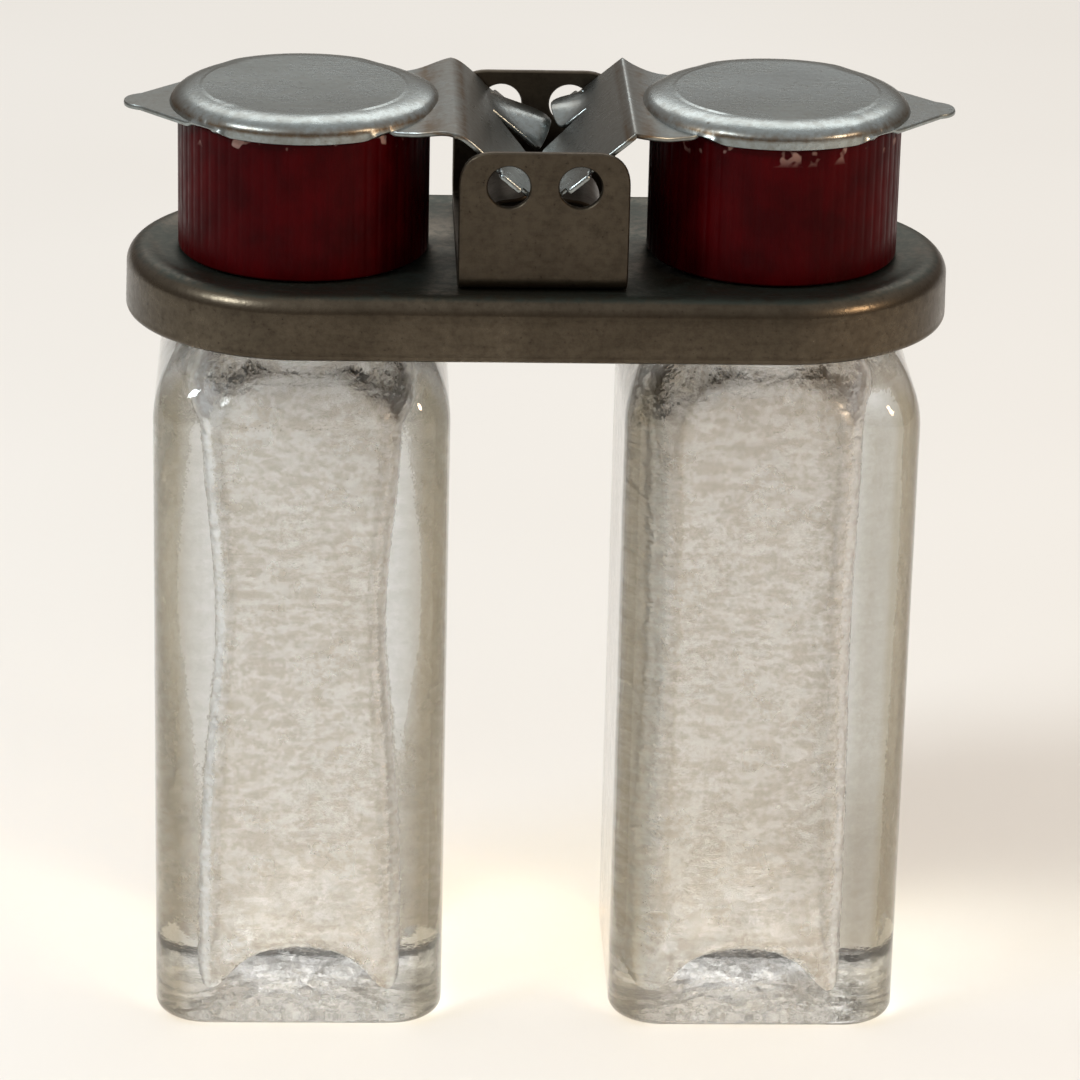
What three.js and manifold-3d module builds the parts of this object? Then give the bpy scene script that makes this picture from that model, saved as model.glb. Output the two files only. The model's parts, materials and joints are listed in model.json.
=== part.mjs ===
// Salt and pepper set: two square glass bottles whose screw caps clamp one pressed
// metal tray, with a hinge bracket in the middle that carries two flip lids.
// Millimetres, +Z up. The origin is on the table, midway between the two bottles.
import * as THREE from "three";
import { mergeVertices } from "three/addons/utils/BufferGeometryUtils.js";
import Module from "manifold-3d";

const wasm = await Module();
wasm.setup();

// ---- driving dimensions ----
const SHAKER_X = 23.8; // from the middle of the set to each bottle's axis
const TRAY_TOP = 81.3; // height of the tray's flat top
const ROUND = 32; // facets round the caps, necks and lids
const FINE_GAP = 0.1; // between pieces that touch
const TURN = 2 * Math.PI;

const TRAY = { radius: 18, sheet: 0.7, skirt: 6.5, edge: 2, hole: 10.9 };
const BRACKET = { halfWidth: 8.3, halfDepth: 14.7, height: 14.3, sheet: 0.8, bend: 1.5, corner: 2.4 };
const PIVOT = { x: 3.54, height: 10.9, hole: 2.2 }; // ear holes, height above the tray
const RIVET = { shank: 1.2, head: 2.1, headHeight: 0.8, y: 3.4 };
const BOTTLE = { side: 30, corner: 5, top: 73, shoulder: 4.6, shoulderDrop: 7, foot: 1.6 };
const CAVITY = { side: 19.6, corner: 4, floor: 7, top: 67, round: 3.6 };
const NECK = { radius: 9.45, bore: 7.4, top: TRAY_TOP + 12.2, bead: 12, beadHeight: 1.5, flare: 1.8 };
const THREAD = { pitch: 3, neckTurns: 1.5, capTurns: 1, ridge: 0.85, capRidge: 0.8, belowLip: 1.6, bite: 0.05 };
const CAP = { radius: 12.7, ribs: 60, ribDepth: 0.25, height: 15.2, roof: 1.8, bore: 10.65 };
const WASHER = { inner: 7.6, outer: 10.2, thick: 0.9 };
const LID = { sheet: 0.5, radius: 13.45, topRadius: 10.3, rim: 14.65, top: 16.9, halfWidth: 13.4 };
const LEG = { foldX: 8.84, fold: 16.2, slope: THREE.MathUtils.degToRad(40), inner: 0.4 };
const FLANGE = { meetX: 7.9, meetY: 10.9, waist: 1.9 }; // where its edges meet the round rim
const LUG = { width: 2.6, reach: 14.65, offset: 0.35 };
const TONGUE = { root: 5.4, near: 6.2, far: 11.2, gap: 0.3 };
const SLIT = { apex: 0.5, spread: 6.4, end: -2 }; // the wedge beside the tongue
const TAB_TIP = 41.8; // from the middle of the set to each thumb tab's end
const LINER = { radius: 9.6, thick: 0.85 };
const SPRING = { halfWidth: 5.2, sheet: 0.35 };

// ---- solids ----
function solid(geometry) {
  for (const name of ["normal", "uv"]) geometry.deleteAttribute(name);
  const merged = mergeVertices(geometry, 1e-4);
  const index = merged.index.array;
  const corners = [];
  for (let i = 0; i < index.length; i += 3) {
    const [a, b, c] = [index[i], index[i + 1], index[i + 2]];
    if (a !== b && b !== c && c !== a) corners.push(a, b, c);
  }
  const mesh = new wasm.Mesh({
    numProp: 3,
    vertProperties: new Float32Array(merged.attributes.position.array),
    triVerts: new Uint32Array(corners),
  });
  return new wasm.Manifold(mesh);
}

function geometryOf(body) {
  const mesh = body.getMesh();
  const geometry = new THREE.BufferGeometry();
  geometry.setAttribute("position", new THREE.BufferAttribute(new Float32Array(mesh.vertProperties), 3));
  geometry.setIndex(new THREE.BufferAttribute(new Uint32Array(mesh.triVerts), 1));
  geometry.computeVertexNormals();
  return geometry;
}

const joined = (first, ...rest) => rest.reduce((body, other) => body.add(other), first);
const cut = (first, ...rest) => rest.reduce((body, other) => body.subtract(other), first);

function block(x0, x1, y0, y1, z0, z1) {
  const box = new THREE.BoxGeometry(x1 - x0, y1 - y0, z1 - z0);
  return solid(box.translate((x0 + x1) / 2, (y0 + y1) / 2, (z0 + z1) / 2));
}

// An upright round bar.
function rod(radius, z0, z1, x = 0, y = 0, facets = ROUND) {
  const bar = new THREE.CylinderGeometry(radius, radius, z1 - z0, facets);
  return solid(bar.rotateX(Math.PI / 2).translate(x, y, (z0 + z1) / 2));
}

// A bar along Y, for the ear holes.
function crossRod(radius, y0, y1, x, z, facets = 24) {
  const bar = new THREE.CylinderGeometry(radius, radius, y1 - y0, facets);
  return solid(bar.translate(x, (y0 + y1) / 2, z));
}

function turned(profile, x) {
  const points = profile.map(([r, z]) => new THREE.Vector2(r, z));
  return solid(new THREE.LatheGeometry(points, ROUND).rotateX(Math.PI / 2).translate(x, 0, 0));
}

// An outline in X and Y, pulled up from z0 to z1. A rounding (size, depth) softens both ends.
function upright(shape, z0, z1, size = 0, depth = 0, arcSteps = 4) {
  const options = { depth: z1 - z0 - 2 * depth, curveSegments: arcSteps, bevelEnabled: size > 0 };
  Object.assign(options, { bevelSize: size, bevelOffset: -size, bevelThickness: depth, bevelSegments: 3 });
  return solid(new THREE.ExtrudeGeometry(shape, options).translate(0, 0, z0 + depth));
}

// An outline in X and Z, pulled along Y from y0 to y1.
function sideways(points, y0, y1) {
  const outline = new THREE.Shape(points.map(([x, z]) => new THREE.Vector2(x, z)));
  const plate = new THREE.ExtrudeGeometry(outline, { depth: y1 - y0, bevelEnabled: false });
  return solid(plate.rotateX(Math.PI / 2).translate(0, y1, 0));
}

function roundedSquare(side, corner, x = 0) {
  const reach = side / 2 - corner;
  const shape = new THREE.Shape();
  for (let k = 0; k < 4; k++) {
    const [sx, sy] = [[1, 1], [-1, 1], [-1, -1], [1, -1]][k];
    shape.absarc(x + sx * reach, sy * reach, corner, (k * Math.PI) / 2, ((k + 1) * Math.PI) / 2);
  }
  return shape;
}

function stadium(radius, straight) {
  const shape = new THREE.Shape();
  shape.absarc(straight, 0, radius, -Math.PI / 2, Math.PI / 2);
  shape.absarc(-straight, 0, radius, Math.PI / 2, (3 * Math.PI) / 2);
  return shape;
}

// A right-handed helix round an upright axis at x.
class Helix extends THREE.Curve {
  constructor(radius, turns, z0, x) {
    super();
    Object.assign(this, { radius, turns, z0, x });
  }
  getPoint(t) {
    const angle = t * this.turns * TURN;
    const z = this.z0 + t * this.turns * THREAD.pitch;
    return new THREE.Vector3(this.x + this.radius * Math.cos(angle), this.radius * Math.sin(angle), z);
  }
}

function threadRidge(radius, ridge, turns, z0, x) {
  const section = new THREE.Shape().absarc(0, 0, ridge, 0, TURN);
  const path = new Helix(radius, turns, z0, x);
  const options = { steps: Math.round(turns * 20), curveSegments: 6, extrudePath: path };
  return solid(new THREE.ExtrudeGeometry(section, options));
}

// ---- tray, bracket, rivets and spring ----
function trayBody() {
  const { radius, sheet, skirt, edge, hole } = TRAY;
  const below = TRAY_TOP - skirt;
  const outside = upright(stadium(radius, SHAKER_X), below - skirt, TRAY_TOP, edge, edge, 12);
  const inside = upright(
    stadium(radius - sheet, SHAKER_X), below - 2 * skirt, TRAY_TOP - sheet, edge - sheet, edge - sheet, 12,
  );
  const reach = SHAKER_X + 2 * radius;
  let tray = cut(outside, inside, block(-reach, reach, -reach, reach, below - 2 * skirt, below));
  for (const side of [-1, 1]) {
    tray = cut(tray, rod(hole, below, TRAY_TOP + 1, side * SHAKER_X));
    tray = cut(tray, rod(RIVET.shank + FINE_GAP, below, TRAY_TOP + 1, 0, side * RIVET.y, 16));
  }
  return tray;
}

function bracketBody() {
  const { halfWidth, halfDepth, height, sheet, bend, corner } = BRACKET;
  const floor = TRAY_TOP + FINE_GAP;
  const top = TRAY_TOP + height;
  const outer = new THREE.Shape();
  outer.moveTo(halfDepth, top + bend);
  outer.lineTo(-halfDepth, top + bend);
  outer.absarc(-halfDepth + bend, floor + bend, bend, Math.PI, 1.5 * Math.PI);
  outer.absarc(halfDepth - bend, floor + bend, bend, -Math.PI / 2, 0);
  const across = new THREE.ExtrudeGeometry(outer, {
    depth: 2 * halfWidth, curveSegments: 5, bevelEnabled: false,
  });
  across.rotateZ(Math.PI / 2).rotateY(Math.PI / 2).translate(-halfWidth, 0, 0);
  const face = new THREE.Shape();
  face.moveTo(-halfWidth, floor - 1);
  face.lineTo(halfWidth, floor - 1);
  face.absarc(halfWidth - corner, top - corner, corner, 0, Math.PI / 2);
  face.absarc(-halfWidth + corner, top - corner, corner, Math.PI / 2, Math.PI);
  const facing = new THREE.ExtrudeGeometry(face, {
    depth: 2 * halfDepth + 2, curveSegments: 6, bevelEnabled: false,
  });
  facing.rotateX(Math.PI / 2).translate(0, halfDepth + 1, 0);
  const room = block(
    -halfWidth - 1, halfWidth + 1, -halfDepth + sheet, halfDepth - sheet, floor + sheet, top + 2 * bend,
  );
  let bracket = solid(across).intersect(solid(facing)).subtract(room);
  for (const side of [-1, 1]) {
    const z = TRAY_TOP + PIVOT.height;
    bracket = cut(bracket, crossRod(PIVOT.hole, -halfDepth - 1, halfDepth + 1, side * PIVOT.x, z));
    bracket = cut(bracket, rod(RIVET.shank + FINE_GAP, TRAY_TOP - 1, floor + 2, 0, side * RIVET.y, 16));
  }
  return bracket;
}

const springFloor = TRAY_TOP + BRACKET.sheet + 2 * FINE_GAP;

// One rivet: a low domed head inside the bracket, a shank, and a closed tail under the tray.
function rivetBody(y) {
  const { shank, head, headHeight } = RIVET;
  const seat = springFloor + SPRING.sheet + FINE_GAP;
  const under = TRAY_TOP - TRAY.sheet - FINE_GAP;
  const profile = [
    [0, under - headHeight], [head * 0.6, under - headHeight], [head, under - headHeight / 3],
    [head, under], [shank, under], [shank, seat], [head, seat], [head, seat + headHeight / 3],
    [head * 0.6, seat + headHeight], [0, seat + headHeight],
  ];
  const points = profile.map(([r, z]) => new THREE.Vector2(r, z));
  return solid(new THREE.LatheGeometry(points, 16).rotateX(Math.PI / 2).translate(0, y, 0));
}

// A strip that follows the line of points, thickened to one side of it.
function stripOutline(line, thickness) {
  const above = line.map(([x, z], i) => {
    const before = line[Math.max(i - 1, 0)];
    const after = line[Math.min(i + 1, line.length - 1)];
    const [dx, dz] = [after[0] - before[0], after[1] - before[1]];
    const length = Math.hypot(dx, dz);
    return [x - (dz / length) * thickness, z + (dx / length) * thickness];
  });
  return [...line, ...above.reverse()];
}

// The flat spring: its middle is riveted down and each arm curls up under a lid's leg.
function springBody() {
  const arm = [[3.6, 0], [5.2, 0.5], [6.2, 1.7], [6.4, 3.2], [5.7, 4.7], [4.2, 5.5], [2.4, 5.8], [0.9, 6.3]];
  const right = arm.map(([x, z]) => [x, z + springFloor]);
  const left = right.map(([x, z]) => [-x, z]).reverse();
  const strip = sideways(stripOutline([...left, ...right], SPRING.sheet), -SPRING.halfWidth, SPRING.halfWidth);
  const holes = [-1, 1].map((side) => {
    return rod(RIVET.shank + FINE_GAP, springFloor - 1, springFloor + 1, 0, side * RIVET.y, 16);
  });
  return cut(strip, ...holes);
}

// ---- bottles ----
function bottleBody(x) {
  const { side, corner, top, shoulder, shoulderDrop, foot } = BOTTLE;
  const outline = roundedSquare(side, corner, x);
  const rounded = upright(outline, -3 * shoulderDrop, top, shoulder, shoulderDrop);
  const standing = upright(outline, 0, top + side, foot, foot);
  const body = rounded.intersect(standing);
  const beadTop = TRAY_TOP - TRAY.sheet - FINE_GAP;
  const { neckTurns, ridge, belowLip, pitch } = THREAD;
  const { radius, flare } = NECK;
  const glass = joined(
    body,
    rod(radius, top - shoulderDrop, NECK.top, x),
    turned([[0, top - flare], [radius + flare, top - flare], [radius + flare * 0.67, top + flare * 0.3],
      [radius, top + flare], [0, top + flare]], x),
    rod(NECK.bead, beadTop - NECK.beadHeight, beadTop, x),
    threadRidge(radius, ridge, neckTurns, NECK.top - belowLip - neckTurns * pitch, x),
  );
  const inner = roundedSquare(CAVITY.side, CAVITY.corner, x);
  const cavity = upright(inner, CAVITY.floor, CAVITY.top, CAVITY.round, CAVITY.round);
  return cut(glass, cavity, rod(NECK.bore, CAVITY.top - 2, NECK.top + 1, x));
}

// ---- caps ----
// Sprinkling holes: one in the middle and rings of six round it.
function sprinkleHoles(x, rings, spacing, radius) {
  const places = [[0, 0]];
  for (let ring = 1; ring <= rings; ring++) {
    for (let k = 0; k < 6; k++) {
      const angle = (k * TURN) / 6 + (ring * Math.PI) / 6;
      places.push([ring * spacing * Math.cos(angle), ring * spacing * Math.sin(angle)]);
    }
  }
  const roof = TRAY_TOP + CAP.height;
  return places.map(([dx, dy]) => rod(radius, roof - CAP.roof - 1, roof + 1, x + dx, dy, 10));
}

function capBody(x, holes) {
  const { radius, ribs, ribDepth, height, roof, bore } = CAP;
  const outline = new THREE.Shape(
    Array.from({ length: 2 * ribs }, (_, i) => {
      const r = radius - (i % 2) * ribDepth;
      const angle = (i * TURN) / (2 * ribs);
      return new THREE.Vector2(x + r * Math.cos(angle), r * Math.sin(angle));
    }),
  );
  const foot = TRAY_TOP + 2 * FINE_GAP;
  const top = TRAY_TOP + height;
  const shell = cut(upright(outline, foot, top), rod(bore, foot - 1, top - roof, x));
  const { capRidge, capTurns, neckTurns, belowLip, pitch, bite } = THREAD;
  const start = NECK.top - belowLip - (neckTurns + 0.5) * pitch;
  const ridge = threadRidge(bore - bite, capRidge, capTurns, start, x);
  return cut(joined(shell, ridge), ...holes);
}

function washerBody(x) {
  const z = TRAY_TOP + CAP.height - CAP.roof - FINE_GAP;
  const { inner, outer, thick } = WASHER;
  return turned([[inner, z - thick], [outer, z - thick], [outer, z], [inner, z], [inner, z - thick]], x);
}

// ---- lids ----
// The raised round top and its rim, over one cap.
function domeBody(x) {
  const { radius, topRadius, rim, top, sheet } = LID;
  const shoulder = (r, z0, z1) => {
    const steps = 5;
    return Array.from({ length: steps + 1 }, (_, i) => {
      const angle = (i / steps) * (Math.PI / 2);
      return [topRadius + (r - topRadius) * Math.cos(angle), z0 + (z1 - z0) * Math.sin(angle)];
    });
  };
  const base = TRAY_TOP + rim;
  const outer = shoulder(radius, base + 0.9, TRAY_TOP + top);
  const inner = shoulder(radius - sheet, base + 0.6, TRAY_TOP + top - sheet);
  const end = [0, TRAY_TOP + top];
  const start = [0, TRAY_TOP + top - sheet];
  return turned([start, ...inner.reverse(), [radius - sheet, base], [radius, base], ...outer, end], x);
}

// The pointed thumb tab at the outer end. All lid parts are drawn for the right side.
function tabBody() {
  const spread = THREE.MathUtils.degToRad(58);
  const [rootX, rootY] = [LID.radius * Math.cos(spread), LID.radius * Math.sin(spread)];
  const tip = TAB_TIP - SHAKER_X;
  const shape = new THREE.Shape();
  shape.moveTo(0, -rootY);
  shape.lineTo(rootX, -rootY);
  shape.quadraticCurveTo(LID.radius - 1, -rootY * 0.72, tip - 1.6, -2.2);
  shape.quadraticCurveTo(tip + 0.1, -1.6, tip, 0);
  shape.quadraticCurveTo(tip + 0.1, 1.6, tip - 1.6, 2.2);
  shape.quadraticCurveTo(LID.radius - 1, rootY * 0.72, rootX, rootY);
  shape.lineTo(0, rootY);
  const base = TRAY_TOP + LID.rim;
  const plate = new THREE.ExtrudeGeometry(shape, { depth: LID.sheet, curveSegments: 5, bevelEnabled: false });
  return cut(solid(plate.translate(SHAKER_X, 0, base)), rod(LID.radius - 0.2, base - 1, base + 2, SHAKER_X));
}

const legHeight = (x) => TRAY_TOP + LEG.fold - (LEG.foldX - x) * Math.tan(LEG.slope);

// The leg between two values of y: down from the fold to x = inner, steeper or shallower at will.
function legStrip(y0, y1, inner, bentAt = null, bentSlope = LEG.slope) {
  const line = [[LEG.foldX + 0.7, TRAY_TOP + LEG.fold - 0.12], [LEG.foldX - 0.3, legHeight(LEG.foldX - 0.3)]];
  if (bentAt !== null) line.push([bentAt, legHeight(bentAt)]);
  const from = bentAt ?? LEG.foldX;
  line.push([inner, legHeight(from) - (from - inner) * Math.tan(bentSlope)]);
  return sideways(stripOutline(line.reverse(), -LID.sheet), y0, y1);
}

// The flange from the round top up to the fold. Its edges curve in to meet the round rim.
function flangeBody() {
  const low = TRAY_TOP + LID.rim + LID.sheet;
  const { meetX, meetY, waist } = FLANGE;
  const { halfWidth } = LID;
  const [meet, edge] = [SHAKER_X - meetX, LEG.foldX];
  const shape = new THREE.Shape();
  shape.moveTo(edge - 1, -halfWidth);
  shape.lineTo(edge, -halfWidth);
  shape.quadraticCurveTo(edge + waist, -halfWidth + waist, meet, -meetY);
  shape.lineTo(SHAKER_X, 0);
  shape.lineTo(meet, meetY);
  shape.quadraticCurveTo(edge + waist, halfWidth - waist, edge, halfWidth);
  shape.lineTo(edge - 1, halfWidth);
  const outline = upright(shape, low - 1, TRAY_TOP + LEG.fold + 1, 0, 0, 6);
  const line = [
    [LEG.foldX + 0.6, TRAY_TOP + LEG.fold - 0.1], [LEG.foldX + 1.5, TRAY_TOP + LEG.fold - 0.5],
    [LEG.foldX + 2.5, low + 0.15], [LEG.foldX + 3.4, low], [SHAKER_X, low],
  ];
  const plate = sideways(stripOutline(line, -LID.sheet), -halfWidth, halfWidth).intersect(outline);
  return cut(plate, rod(LID.radius - 0.2, TRAY_TOP + LID.rim - 1, TRAY_TOP + LEG.fold + 1, SHAKER_X));
}

// One lid, drawn for the right side and mirrored for the left. Its tongue ends at tongueEnd.
function lidBody(side, tongueEnd, tongueSlope) {
  const { halfWidth } = LID;
  const slit = new THREE.Shape();
  slit.moveTo(TONGUE.root, TONGUE.near - SLIT.apex);
  slit.lineTo(SLIT.end, TONGUE.near - SLIT.spread);
  slit.lineTo(SLIT.end, TONGUE.near);
  slit.lineTo(TONGUE.root, TONGUE.near);
  const gap = new THREE.ExtrudeGeometry(slit, { depth: LEG.fold, bevelEnabled: false });
  const frontFinger = legStrip(-halfWidth, TONGUE.near, LEG.inner);
  const lugInner = PIVOT.x - LUG.offset - (LUG.width / 2) * Math.cos(LEG.slope);
  const lugOuter = lugInner + LUG.width * Math.cos(LEG.slope);
  const lugs = legStrip(-LUG.reach, LUG.reach, lugInner);
  const lugRoom = block(lugOuter, SHAKER_X, -TRAY.radius, TRAY.radius, TRAY_TOP, TRAY_TOP + LEG.fold + 1);
  const lap = 0.01; // neighbouring strips run into each other
  const leg = joined(
    frontFinger.subtract(solid(gap.translate(0, 0, TRAY_TOP + 1))),
    legStrip(TONGUE.near, TONGUE.far, tongueEnd, TONGUE.root, tongueSlope),
    legStrip(TONGUE.far - lap, TONGUE.far + TONGUE.gap, TONGUE.root),
    legStrip(TONGUE.far + TONGUE.gap - lap, halfWidth, lugInner),
    lugs.subtract(lugRoom),
  );
  const body = joined(domeBody(SHAKER_X), tabBody(), flangeBody(), leg);
  return side > 0 ? body : body.mirror([1, 0, 0]);
}

function linerBody(x) {
  const top = TRAY_TOP + LID.top - LID.sheet - FINE_GAP / 2;
  return rod(LINER.radius, top - LINER.thick, top, x);
}

// ---- assembly ----
const FINISH = {
  metal: { color: 0x5c5648, roughness: 0.42, metalness: 0.9 },
  lidMetal: { color: 0x8d8c85, roughness: 0.34, metalness: 0.9 },
  spring: { color: 0x4c4a45, roughness: 0.35, metalness: 1 },
  glass: { color: 0xdcd6c8, roughness: 0.05, metalness: 0 },
  plastic: { color: 0x4a0406, roughness: 0.3, metalness: 0 },
  cork: { color: 0xa5845c, roughness: 0.9, metalness: 0 },
};

const shakers = new THREE.Group();

function place(name, body, finish) {
  const mesh = new THREE.Mesh(geometryOf(body), new THREE.MeshStandardMaterial(FINISH[finish]));
  mesh.name = name;
  shakers.add(mesh);
}

place("tray", trayBody(), "metal");
place("hinge_bracket", bracketBody(), "metal");
place("front_rivet", rivetBody(-RIVET.y), "metal");
place("back_rivet", rivetBody(RIVET.y), "metal");
place("leaf_spring", springBody(), "spring");

const SIDES = [
  { name: "left", side: -1, rings: 1, spacing: 4, hole: 0.9, tongueEnd: 0.5, tongueSlope: 0.5 },
  { name: "right", side: 1, rings: 2, spacing: 3.2, hole: 0.7, tongueEnd: 3.2, tongueSlope: LEG.slope },
];
for (const { name, side, rings, spacing, hole, tongueEnd, tongueSlope } of SIDES) {
  const x = side * SHAKER_X;
  place(`${name}_bottle`, bottleBody(x), "glass");
  place(`${name}_cap`, capBody(x, sprinkleHoles(x, rings, spacing, hole)), "plastic");
  place(`${name}_cap_washer`, washerBody(x), "cork");
  place(`${name}_lid`, lidBody(side, tongueEnd, tongueSlope), "lidMetal");
  place(`${name}_lid_liner`, linerBody(x), "cork");
}

export default shakers;
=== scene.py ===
"""The looks of a vintage salt and pepper set: two square glass bottles with maroon screw
caps, held by one pressed metal tray, with a hinge bracket and two flip lids.
Shapes are worked out in millimetres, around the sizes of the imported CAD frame."""
import json
import math

import bmesh
import bpy
import numpy as np
from mathutils import Matrix, Vector, noise
from mathutils.geometry import delaunay_2d_cdt


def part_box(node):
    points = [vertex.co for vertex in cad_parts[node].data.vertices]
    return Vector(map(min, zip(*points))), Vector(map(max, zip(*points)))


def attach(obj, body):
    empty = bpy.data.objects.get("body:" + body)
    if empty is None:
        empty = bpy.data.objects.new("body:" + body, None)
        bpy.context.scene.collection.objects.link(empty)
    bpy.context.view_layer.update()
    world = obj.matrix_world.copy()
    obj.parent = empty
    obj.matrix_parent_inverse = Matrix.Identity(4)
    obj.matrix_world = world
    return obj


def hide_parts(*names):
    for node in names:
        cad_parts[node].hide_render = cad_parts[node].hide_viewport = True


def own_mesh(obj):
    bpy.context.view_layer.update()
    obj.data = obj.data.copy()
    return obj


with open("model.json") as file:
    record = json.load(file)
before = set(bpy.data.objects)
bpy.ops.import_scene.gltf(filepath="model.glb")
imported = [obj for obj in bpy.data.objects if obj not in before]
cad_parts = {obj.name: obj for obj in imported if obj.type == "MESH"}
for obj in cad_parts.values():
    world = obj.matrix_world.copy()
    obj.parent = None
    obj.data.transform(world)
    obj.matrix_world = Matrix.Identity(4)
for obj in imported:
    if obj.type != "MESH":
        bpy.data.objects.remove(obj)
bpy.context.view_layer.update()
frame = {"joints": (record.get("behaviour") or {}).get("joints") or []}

MM = 0.001
TURN = 2 * math.pi


# ---- sizes from the frame, in millimetres ----
def low_high(node):
    low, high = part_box(node)
    return np.array(low) / MM, np.array(high) / MM


tray_low, tray_high = low_high("tray")
bottle_low, bottle_high = low_high("right_bottle")
cap_low, cap_high = low_high("right_cap")
_, lid_high = low_high("right_lid")
ear_low, ear_high = low_high("hinge_bracket")
spring_low, spring_high = low_high("leaf_spring")
washer_low, washer_high = low_high("right_cap_washer")
liner_low, liner_high = low_high("right_lid_liner")
rivet_low, rivet_high = low_high("back_rivet")

TRAY_TOP = tray_high[2]
SHAKER_X = (washer_low[0] + washer_high[0]) / 2
PIVOT_X, _, PIVOT_Z = next(
    [v / MM for v in j["pos_m"]] for j in frame["joints"] if j["name"] == "right_lid_flip")
RIVET_Y = 3.4
RIVET_HOLE = 1.35

# a lid: one sheet with a raised round top, a fold, and a leg that slopes to the bracket
LID = {"base": 14.65, "sheet": 0.5, "flat": 10.3, "rim": 13.45, "drop": 1.35, "half": 13.4,
       "crease": 0.12}
LID_BASE = TRAY_TOP + LID["base"]
LID_PLATE = LID_BASE + LID["sheet"]
FOLD_X = 8.84
FOLD_Z = TRAY_TOP + 16.2
LEG_SLOPE = math.radians(40)


# ---- mesh building ----
def add_piece(name, points, faces, materials, body, stands_for, marks=None, sharp=35):
    """A mesh object from points in millimetres; marks gives each face its material."""
    mesh = bpy.data.meshes.new(name)
    mesh.from_pydata([tuple(p) for p in np.asarray(points) * MM], [], faces)
    for material in materials:
        mesh.materials.append(material)
    if marks is not None:
        mesh.polygons.foreach_set("material_index", marks)
    mesh.polygons.foreach_set("use_smooth", [True] * len(mesh.polygons))
    mesh.set_sharp_from_angle(angle=math.radians(sharp))
    mesh.validate()
    mesh.update()
    piece = bpy.data.objects.new(name, mesh)
    bpy.context.scene.collection.objects.link(piece)
    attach(piece, body)
    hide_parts(stands_for)
    return piece


def band_faces(count, around, start=0):
    """Quads between each of count rings of points and the next."""
    faces = []
    for i in range(count - 1):
        low = start + i * around
        high = low + around
        for j in range(around):
            k = (j + 1) % around
            faces.append((low + j, low + k, high + k, high + j))
    return faces


def loft(rings):
    """A closed skin over rings of points, with both ends drawn in to their middles."""
    count, around = rings.shape[:2]
    faces = band_faces(count, around)
    points = np.vstack([rings.reshape(-1, 3), rings[0].mean(0), rings[-1].mean(0)])
    start, end = len(points) - 2, len(points) - 1
    last = (count - 1) * around
    for j in range(around):
        k = (j + 1) % around
        faces.append((start, k, j))
        faces.append((end, last + j, last + k))
    return points, faces


def closed_loft(rings):
    """A skin over rings whose last one joins the first, such as a washer."""
    count, around = rings.shape[:2]
    total = count * around
    faces = [tuple(v % total for v in face) for face in band_faces(count + 1, around)]
    return rings.reshape(-1, 3), faces


def turned_rings(profile, around, x=0.0, y=0.0):
    """Rings round an upright axis, one for each (radius, height) of the profile."""
    angle = np.arange(around) * TURN / around
    return np.array([
        np.column_stack([x + r * np.cos(angle), y + r * np.sin(angle), np.full(around, z)])
        for r, z in profile
    ])


def inside_loops(loops, points):
    """Which points lie inside the loops, by the even and odd rule."""
    points = np.asarray(points)
    result = np.zeros(len(points), bool)
    for loop in loops:
        a = np.asarray(loop)
        b = np.roll(a, -1, 0)
        for (ax, ay), (bx, by) in zip(a, b):
            if ay == by:
                continue
            crosses = (ay > points[:, 1]) != (by > points[:, 1])
            at = ax + (points[:, 1] - ay) * (bx - ax) / (by - ay)
            result ^= crosses & (points[:, 0] < at)
    return result


def away_from_loops(loops, points, gap):
    """Which points are further than the gap from every edge of the loops."""
    points = np.asarray(points)
    keep = np.ones(len(points), bool)
    for loop in loops:
        a = np.asarray(loop)
        for start, end in zip(a, np.roll(a, -1, 0)):
            along = end - start
            t = np.clip(((points - start) @ along) / max(along @ along, 1e-12), 0, 1)
            keep &= np.hypot(*(points - start - t[:, None] * along).T) > gap
    return keep


def triangulated(loops, extra, gap=0.12):
    """Triangles that fill the flat shape inside the loops, with extra points where they fit."""
    extra = np.asarray(extra).reshape(-1, 2)
    extra = extra[inside_loops(loops, extra) & away_from_loops(loops, extra, gap)]
    coords, edges = [], []
    for loop in loops:
        start = len(coords)
        coords += [Vector(p) for p in loop]
        edges += [(start + i, start + (i + 1) % len(loop)) for i in range(len(loop))]
    coords += [Vector(p) for p in extra]
    found = delaunay_2d_cdt(coords, edges, [], 0, 1e-6)
    points = np.array([tuple(p) for p in found[0]])
    triangles = np.array([tuple(f) for f in found[2]])
    triangles = triangles[inside_loops(loops, points[triangles].mean(1))]
    a, b, c = points[triangles[:, 0]], points[triangles[:, 1]], points[triangles[:, 2]]
    area = (b[:, 0] - a[:, 0]) * (c[:, 1] - a[:, 1]) - (b[:, 1] - a[:, 1]) * (c[:, 0] - a[:, 0])
    triangles[area < 0] = triangles[area < 0][:, ::-1]
    return points, triangles


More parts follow.
